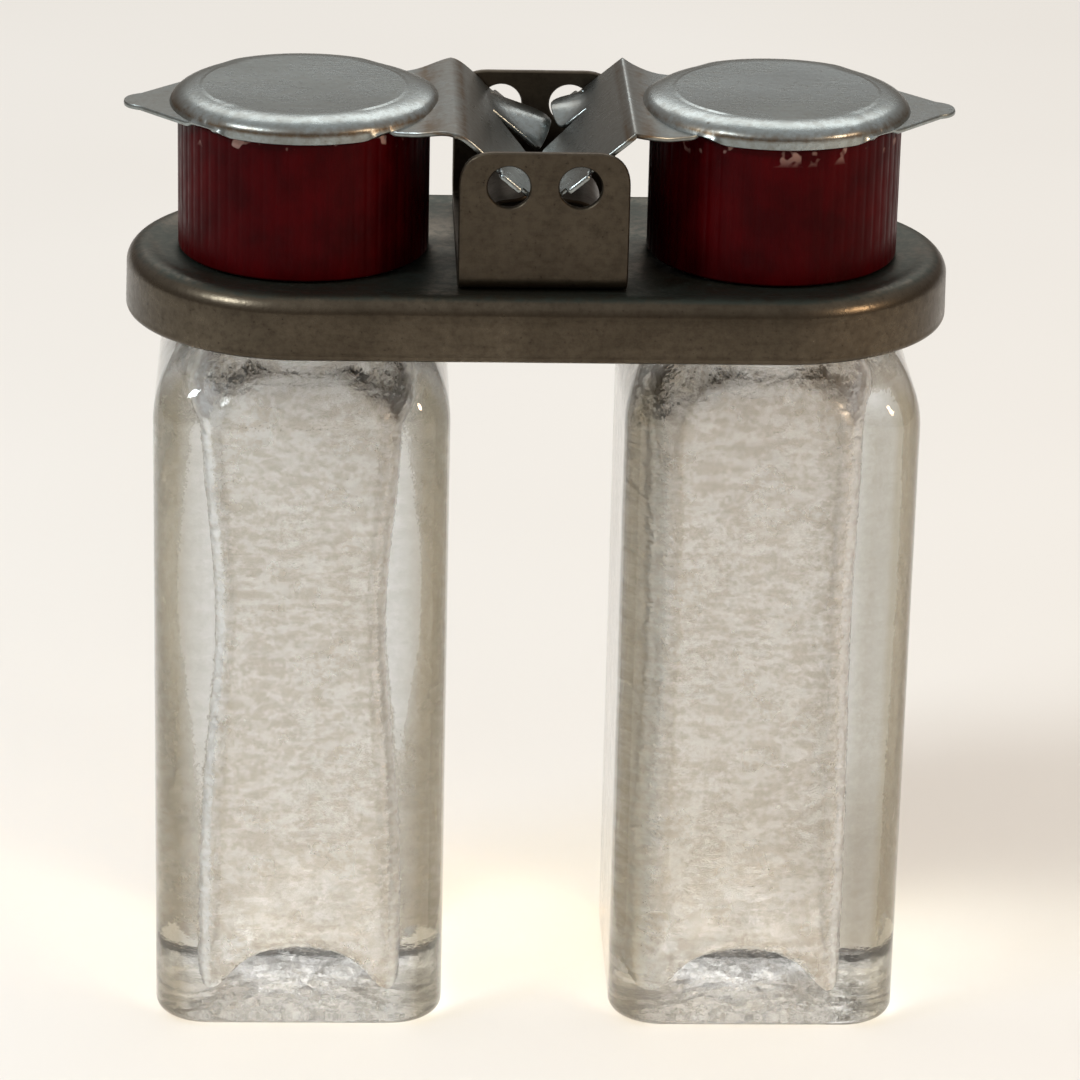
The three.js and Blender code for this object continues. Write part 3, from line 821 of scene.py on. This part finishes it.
def bracket():
    """A strip bent up at both ends into two ears, each with two hinge holes."""
    half, depth, top = ear_high[0], ear_high[1], ear_high[2]
    floor, bend = ear_low[2], BRACKET["bend"]
    path = [(0, floor), (depth - bend, floor)] + arc(depth - bend, floor + bend, bend, -90, 0, 10)[1:]
    path.append((depth, top))
    length = path_length(path)
    rise = length - (top - PIVOT_Z)
    corners = [(half, -length), (half, length), (-half, length), (-half, -length)]
    outline = rounded(corners, BRACKET["corner"], 10)
    loops = [resampled(outline, 0.8)]
    for side in (-1, 1):
        loops.append(circle(0, side * RIVET_Y, RIVET_HOLE, 20)[::-1])
        for end in (-1, 1):
            loops.append(circle(side * PIVOT_X, end * rise, BRACKET["ear_hole"], 56)[::-1])
    fine = grid(-half, half, depth - bend - 0.4, depth + 1.6, 1.0, 0.22)
    coarse = grid(-half, half, -length, length, 0.9, 0.9)
    dense = np.vstack([fine, fine * (1, -1), coarse[np.abs(np.abs(coarse[:, 1]) - depth) > 2]])
    points, triangles = triangulated(loops, dense)
    y, z = along_path(path, np.abs(points[:, 1]))
    y = y * np.sign(points[:, 1])
    wave = waves(points[:, 0] / 7, y / 9, z / 7)
    upper = smooth((z - floor - 3) / 5)
    y = y - np.sign(y) * 0.12 * np.abs(wave) * upper
    surface = np.column_stack([points[:, 0], y, z])
    body, faces = sheet_metal(surface, triangles[:, ::-1], BRACKET["sheet"], 0.2)
    return add_piece("bracket_strip", body, faces, [BRACKET_METAL], "frame",
                     "hinge_bracket")


def rivet(y, name):
    """A turned rivet that holds the bracket and the spring on the tray."""
    low, high = rivet_low[2], rivet_high[2]
    head, shank, tall = 2.1, 1.2, 0.8
    under, seat = low + tall, high - tall
    profile = [(0.3, low), (head * 0.45, low + 0.08), (head * 0.8, low + 0.32)]
    profile += [(head, under - 0.1), (head, under), (shank, under + 0.01), (shank, seat - 0.01)]
    profile += [(head, seat), (head, seat + 0.12), (head * 0.85, high - 0.3), (head * 0.5, high - 0.08)]
    profile.append((0.3, high))
    points, faces = loft(turned_rings(profile, 40, 0, y))
    return add_piece(f"{name}_rivet_turned", points, faces, [BRACKET_METAL], "frame",
                     f"{name}_rivet")


# ---- leaf spring, in two halves ----
SPRING = {"sheet": 0.35, "notch": 1.3}
SPRING_ARM = [(0, 0), (2.4, 0), (3.6, 0.05), (5.2, 0.5), (6.2, 1.7), (6.4, 3.2), (5.7, 4.7), (4.2, 5.5),
              (2.4, 5.8), (0.9, 6.3)]


def smooth_through(corners):
    """A path that passes smoothly through every one of the points."""
    last = len(corners) - 1
    path = []
    for i in range(last):
        a, b, c, d = (np.array(corners[max(0, min(last, i + k))], float) for k in (-1, 0, 1, 2))
        for t in np.linspace(0, 1, 9)[:-1]:
            square = (2 * a - 5 * b + 4 * c - d) * t * t
            path.append(0.5 * (2 * b + (c - a) * t + square + (3 * b - a - 3 * c + d) * t ** 3))
    path.append(np.array(corners[-1], float))
    return path


def spring_half(side, name):
    """One arm of the leaf spring: flat under the bracket, then curled up and back."""
    floor = spring_low[2]
    half = spring_high[1]
    arm = smooth_through(SPRING_ARM)
    length = path_length(arm)
    outline = [(0.0, -half), (length - 1.2, -half), (length - 0.3, -half + 0.4), (length, -half + 1.4)]
    outline += [(length, half - 1.4), (length - 0.3, half - 0.4), (length - 1.2, half), (0.0, half)]
    for y in (RIVET_Y, -RIVET_Y):
        turns = [math.radians(a) for a in range(0, 181, 15)]
        outline += [(SPRING["notch"] * math.sin(a), y + SPRING["notch"] * math.cos(a)) for a in turns]
    points, triangles = triangulated([resampled(outline, 0.5)], grid(0, length, -half, half, 0.35, 0.9))
    x, z = along_path(arm, points[:, 0])
    surface = np.column_stack([side * x, points[:, 1], z + floor])
    order = triangles[:, ::-1] if side > 0 else triangles
    body, faces = sheet_metal(surface, order, SPRING["sheet"])
    piece = add_piece(f"{name}_spring_arm", body, faces, [SPRING_STEEL], "frame",
                      "leaf_spring")
    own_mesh(piece)
    return piece


# ---- lids: drawn for the right side, round the axis of its cap, and mirrored for the left ----
FOLD = FOLD_X - SHAKER_X
TIP = lid_high[0] - SHAKER_X
FREE_EDGE = LID["rim"] + (lid_high[2] - LID["drop"] - LID_BASE)
# where the flange and the tab begin to turn into the free rim, in degrees
FLANGE_ANGLE = 50.0
TAB_ANGLE = 44.0
CHANGE = 14.0
TONGUE_NEAR, TONGUE_FAR = 6.2, 12.2


def goes_on(points):
    """1 where the flange or the tab goes on outwards, 0 where the rim is free."""
    hinge = np.degrees(np.arctan2(np.abs(points[:, 1]), -points[:, 0]))
    thumb = np.degrees(np.arctan2(np.abs(points[:, 1]), points[:, 0]))
    return np.maximum(smooth((FLANGE_ANGLE + CHANGE - hinge) / CHANGE),
                      smooth((TAB_ANGLE + CHANGE - thumb) / CHANGE))


def round_outline():
    """One side of the flat pattern, from the tab's tip round the free rim to the fold."""
    rim, half = LID["rim"], LID["half"]
    tab_end = curve((TIP - 1.6, 2.2), (TIP + 0.1, 1.5), (TIP, 0), 6)
    tab_flank = curve(polar(rim, TAB_ANGLE), (rim - 1.4, 7.0), (TIP - 1.6, 2.2), 12)
    flank = curve((FOLD, half), (FOLD + 1.7, half - 1.9), polar(rim, 180 - FLANGE_ANGLE), 12)
    from_tab, to_flange = [], []
    for t in np.linspace(0, 1, 7):
        radius = rim + (FREE_EDGE - rim) * float(smooth(t))
        from_tab.append(polar(radius, TAB_ANGLE + CHANGE * t))
        to_flange.append(polar(radius, 180 - FLANGE_ANGLE - CHANGE * t))
    free = arc(0, 0, FREE_EDGE, TAB_ANGLE + CHANGE, 180 - FLANGE_ANGLE - CHANGE, 90)
    outline = tab_end[::-1] + tab_flank[::-1][1:] + from_tab[1:] + free[1:]
    return outline + to_flange[::-1][1:] + flank[::-1][1:]


def on_leg(x):
    """Where the leg's flat pattern meets this distance from the set's middle."""
    return FOLD - (FOLD_X - x) / math.cos(LEG_SLOPE)


def leg_outline(root, tongue_end, tongue_slope, tongue_round, slit_slope):
    """The leg's flat pattern, with two lugs, and a slot and a slit that free the tongue."""
    half, lug_y = LID["half"], lid_high[1]
    cos = math.cos(LEG_SLOPE)
    lug_inner = PIVOT_X - 0.35 - 1.3 * cos
    lug_outer = lug_inner + 2.6 * cos
    slot_y = TONGUE_FAR + 0.3
    finger_end = 0.4
    apex_y = TONGUE_NEAR - 0.45
    finger_y = apex_y - slit_slope * (root - finger_end)
    inner, outer, base = on_leg(lug_inner), on_leg(lug_outer), on_leg(root)
    end = base - (root - tongue_end) / math.cos(tongue_slope)
    finger = on_leg(finger_end)
    corners = [
        ((FOLD, half), 0), ((outer, half), 0.5), ((outer, lug_y), 0.35), ((inner, lug_y), 0.35),
        ((inner, slot_y), 0.4), ((base, slot_y), 0.1), ((base, TONGUE_FAR), 0.1),
        ((end, TONGUE_FAR), tongue_round[0]), ((end, TONGUE_NEAR), tongue_round[1]),
        ((base, TONGUE_NEAR), 0.1), ((base, apex_y), 0.1),
        ((finger, finger_y), 0.7), ((finger, -half), 0.6), ((inner, -half), 0.3),
        ((inner, -lug_y), 0.35), ((outer, -lug_y), 0.35), ((outer, -half), 0.5), ((FOLD, -half), 0),
    ]
    return rounded([c for c, _ in corners], [r for _, r in corners], 5)


def lid_fill():
    """Points inside the flat pattern, closer together where the sheet bends."""
    flat, half, lug_y = LID["flat"], LID["half"], lid_high[1]
    rings = [(0.0, 0.0)]
    for p in [*np.linspace(1.5, flat - 0.6, 7), *np.linspace(flat - 0.2, FREE_EDGE - 0.12, 24)]:
        rings += circle(0, 0, p, max(12, min(200, int(p * 15))))
    flange = grid(FOLD - 0.9, -8, -half, half, 0.3, 0.45)
    flange = flange[np.hypot(*flange.T) > FREE_EDGE]
    thumb = grid(8, TIP, -9, 9, 0.5, 0.5)
    thumb = thumb[np.hypot(*thumb.T) > FREE_EDGE]
    ridge = [(FOLD, y) for y in np.arange(-half + 0.3, half, 0.45)]
    plain = grid(on_leg(-1), FOLD - 0.9, -lug_y, lug_y, 0.6, 0.7)
    return np.vstack([rings, flange, thumb, ridge, plain])


def pressed(points):
    """The round top, its free rim, and the flange and the tab that go on from it."""
    top = lid_high[2]
    flat, rim, drop, crease = (LID[key] for key in ("flat", "rim", "drop", "crease"))
    p = np.hypot(*points.T)
    across = np.clip((p - flat) / (rim - flat), 0, 1)
    lean = across * math.pi / 2
    r_free = np.where(p <= rim, np.where(p <= flat, p, flat + (rim - flat) * np.sin(lean)), rim)
    z_free = np.where(p <= rim, top - drop * (1 - np.cos(lean)), top - drop - (p - rim))
    z_dome = top - (top - LID_PLATE) * (1 - np.sqrt(1 - across ** 2))
    z_flange = crease * np.logaddexp((z_dome - LID_PLATE) / crease, 0) + LID_PLATE - crease * math.log(2)
    z_flange = np.where(p <= flat, top, z_flange)
    w = goes_on(points)
    r = (1 - w) * r_free + w * p
    z = (1 - w) * z_free + w * z_flange
    z = z - 0.12 * (p < flat) * (1 - (p / flat) ** 2)
    x, y = (points / np.maximum(p, 1e-9)[:, None] * r[:, None]).T
    return x, y, z


def folded(points, x, y, z, softness):
    """The flange swept up to the ridge and the leg turned down past it."""
    sweep_from, power = -11.0, 1.7
    lift = FOLD_Z - LID_PLATE
    sweep = np.maximum(sweep_from - points[:, 0], 0) / (sweep_from - FOLD)
    beyond = np.maximum(FOLD - points[:, 0], 0)
    up_side = z + lift * np.minimum(sweep, 1.0) ** power + beyond * power * lift / (sweep_from - FOLD)
    down_side = FOLD_Z - (FOLD - points[:, 0]) * math.sin(LEG_SLOPE)
    above, below = (FOLD_Z - up_side) / softness, (FOLD_Z - down_side) / softness
    joined = FOLD_Z - softness * np.logaddexp(above, below)
    joined += 0.5 * softness * np.exp(-((points[:, 0] - FOLD) / (3.6 * softness)) ** 2)
    z = np.where(beyond > 4.2, down_side, joined)
    x = np.where(beyond > 0, FOLD - beyond * math.cos(LEG_SLOPE), x)
    y = np.where(beyond > 0, points[:, 1], y)
    return x, y, z


def tongue_bent(points, x, z, root, slope):
    """The tongue lifted out of the leg, twisted from the leg's slope at its near side."""
    bend_at = (FOLD_X - root) / math.cos(LEG_SLOPE)
    past = np.maximum(FOLD - points[:, 0] - bend_at, 0)
    tongue = (points[:, 1] > TONGUE_NEAR - 0.2) & (points[:, 1] < TONGUE_FAR + 0.15) & (past > 0)
    twist = np.clip((points[:, 1] - TONGUE_NEAR) / (TONGUE_FAR - TONGUE_NEAR), 0, 1)
    tilt = LEG_SLOPE + (slope - LEG_SLOPE) * smooth(twist * 1.6)
    x = np.where(tongue, FOLD - bend_at * math.cos(LEG_SLOPE) - past * np.cos(tilt), x)
    z = np.where(tongue, FOLD_Z - bend_at * math.sin(LEG_SLOPE) - past * np.sin(tilt), z)
    return x, z


def lid(side, name, root, tongue_end, tongue_slope, tongue_round, fold_softness, slit_slope):
    """root and tongue_end are where the tongue starts and would end, from the set's middle."""
    leg = leg_outline(root, tongue_end, tongue_slope, tongue_round, slit_slope)
    upper = round_outline()
    lower = [(x, -y) for x, y in upper][::-1]
    points, triangles = triangulated([resampled(leg + lower[1:] + upper[1:-1], 0.45)], lid_fill())
    x, y, z = folded(points, *pressed(points), fold_softness)
    x, z = tongue_bent(points, x, z, root, tongue_slope)
    wave = waves(x / 8 + 7 * side, y / 8, 0.3)
    z = z + 0.06 * wave * (np.hypot(*points.T) < LID["rim"])
    surface = np.column_stack([side * (SHAKER_X + x), y, z])
    order = triangles if side > 0 else triangles[:, ::-1]
    body, faces = sheet_metal(surface, order, LID["sheet"], 0.2)
    return add_piece(f"{name}_lid_pressing", body, faces, [LID_METAL], f"{name}_lid",
                     f"{name}_lid", sharp=38)


# ---- washers and liners ----
def washer(side, name):
    """The ring between a neck and its cap."""
    low, high = washer_low[2], washer_high[2]
    inner, outer = 7.6, 10.2
    soft = 0.2
    profile = [(inner, low + soft), (inner + soft, low), (outer - soft, low), (outer, low + soft),
               (outer, high - soft), (outer - soft, high), (inner + soft, high), (inner, high - soft)]
    points, faces = closed_loft(turned_rings(profile, 96, side * SHAKER_X))
    return add_piece(f"{name}_washer_ring", points, faces, [CORK], f"{name}_cap",
                     f"{name}_cap_washer")


def liner(side, name):
    """The disc under a lid that shuts the cap's holes."""
    low, high = liner_low[2], liner_high[2] - 0.12
    radius = (liner_high[0] - liner_low[0]) / 2
    soft = 0.25
    profile = [(0.6, low + 0.05), (radius * 0.4, low + 0.05), (radius * 0.8, low), (radius - soft, low),
               (radius, low + soft), (radius, high - soft), (radius - soft, high), (0.6, high)]
    points, faces = loft(turned_rings(profile, 72, side * SHAKER_X))
    return add_piece(f"{name}_liner_disc", points, faces, [RUBBER], f"{name}_lid",
                     f"{name}_lid_liner")


# ---- the object ----
tray()
bracket()
rivet(-RIVET_Y, "front")
rivet(RIVET_Y, "back")
BOTTLES = {
    "left": {"waist": 1.55, "ripple": 0.12, "cavity_shift": 0.0},
    "right": {"waist": 0.35, "ripple": 0.16, "cavity_shift": -1.0},
}
CAPS = {
    "left": {"rings_of_holes": 1, "spacing": 4.0, "hole": 0.9},
    "right": {"rings_of_holes": 2, "spacing": 3.2, "hole": 0.7},
}
LIDS = {
    "left": {"root": 4.6, "tongue_end": -1.5, "tongue_slope": 0.34, "tongue_round": (5.0, 0.8),
             "fold_softness": 1.1, "slit_slope": 1.65},
    "right": {"root": 4.9, "tongue_end": 1.5, "tongue_slope": 0.25, "tongue_round": (1.7, 1.5),
              "fold_softness": 0.09, "slit_slope": 0.5},
}
for side, name in ((-1, "left"), (1, "right")):
    spring_half(side, name)
    bottle(side, name, **BOTTLES[name])
    cap(side, name, **CAPS[name])
    washer(side, name)
    liner(side, name)
    lid(side, name, **LIDS[name])


# ---- floor, lights and camera ----
def floor():
    """Plain pale paper, three metres each way."""
    mesh = bpy.data.meshes.new("floor")
    line = np.linspace(-3.0, 3.0, 41)
    points = [(x, y, 0) for x in line for y in line]
    row = len(line)
    starts = [i * row + j for i in range(row - 1) for j in range(row - 1)]
    faces = [(v, v + row, v + row + 1, v + 1) for v in starts]
    mesh.from_pydata(points, [], faces)
    material, tree = new_material("floor_paper")
    colour = mixed(tree, ramp(tree, grain(tree, 4, 3), 0.3, 0.7), rgb(226, 222, 216), rgb(232, 229, 224))
    mesh.materials.append(finished(material, principled(tree, Base_Color=colour, Roughness=0.9)))
    made = bpy.data.objects.new("floor", mesh)
    bpy.context.scene.collection.objects.link(made)


def soft_light(name, place, target, size, power, colour):
    """A rectangular light that faces its target."""
    data = bpy.data.lights.new(name, "AREA")
    data.shape = "RECTANGLE"
    data.size, data.size_y = size
    data.energy = power
    data.color = colour
    made = bpy.data.objects.new(name, data)
    made.location = place
    made.rotation_euler = (Vector(target) - Vector(place)).to_track_quat("-Z", "Y").to_euler()
    bpy.context.scene.collection.objects.link(made)


def camera():
    """Slightly left of the front, looking down, a little rolled."""
    azimuth, elevation, roll = (math.radians(a) for a in (-2.485, 21.5, 1.361))
    target = Vector((0.00096, 0, 0.04922))
    distance = 0.533
    away = Vector((math.sin(azimuth) * math.cos(elevation), -math.cos(azimuth) * math.cos(elevation),
                   math.sin(elevation)))
    right = Vector((math.cos(azimuth), math.sin(azimuth), 0))
    up = away.cross(right)
    turned = math.cos(roll) * right + math.sin(roll) * up
    upward = -math.sin(roll) * right + math.cos(roll) * up
    data = bpy.data.cameras.new("camera")
    data.lens = 170.7
    data.sensor_width = 36
    data.clip_start = 0.01
    made = bpy.data.objects.new("camera", data)
    made.matrix_world = Matrix.Translation(target + distance * away) @ Matrix(
        (turned, upward, away)).transposed().to_4x4()
    bpy.context.scene.collection.objects.link(made)
    bpy.context.scene.camera = made


def surroundings():
    """A dim warm room at eye height that grows lighter overhead."""
    world = bpy.data.worlds.new("studio")
    bpy.context.scene.world = world
    world.use_nodes = True
    tree = world.node_tree
    height = node(tree, "SeparateXYZ", {0: node(tree, "TexCoord").outputs["Generated"]}).outputs[2]
    colour = mixed(tree, ramp(tree, height, 0.1, 0.75), (0.17, 0.135, 0.105, 1), (0.72, 0.72, 0.72, 1))
    tree.links.new(colour, tree.nodes["Background"].inputs["Color"])


floor()
middle = (0, 0, 0.06)
behind = (0, 0.25, 0)
soft_light("key", (-0.45, -0.25, 0.55), middle, size=(0.13, 0.13), power=3.0, colour=(0.85, 0.94, 1.0))
soft_light("warm", (0.5, -0.3, 0.35), middle, size=(0.07, 0.12), power=1.5, colour=(1.0, 0.74, 0.5))
soft_light("back", (0.05, 0.9, 0.9), behind, size=(1.0, 0.6), power=3.7, colour=(1.0, 0.97, 0.93))
camera()
surroundings()
bpy.context.scene.view_settings.view_transform = "Standard"
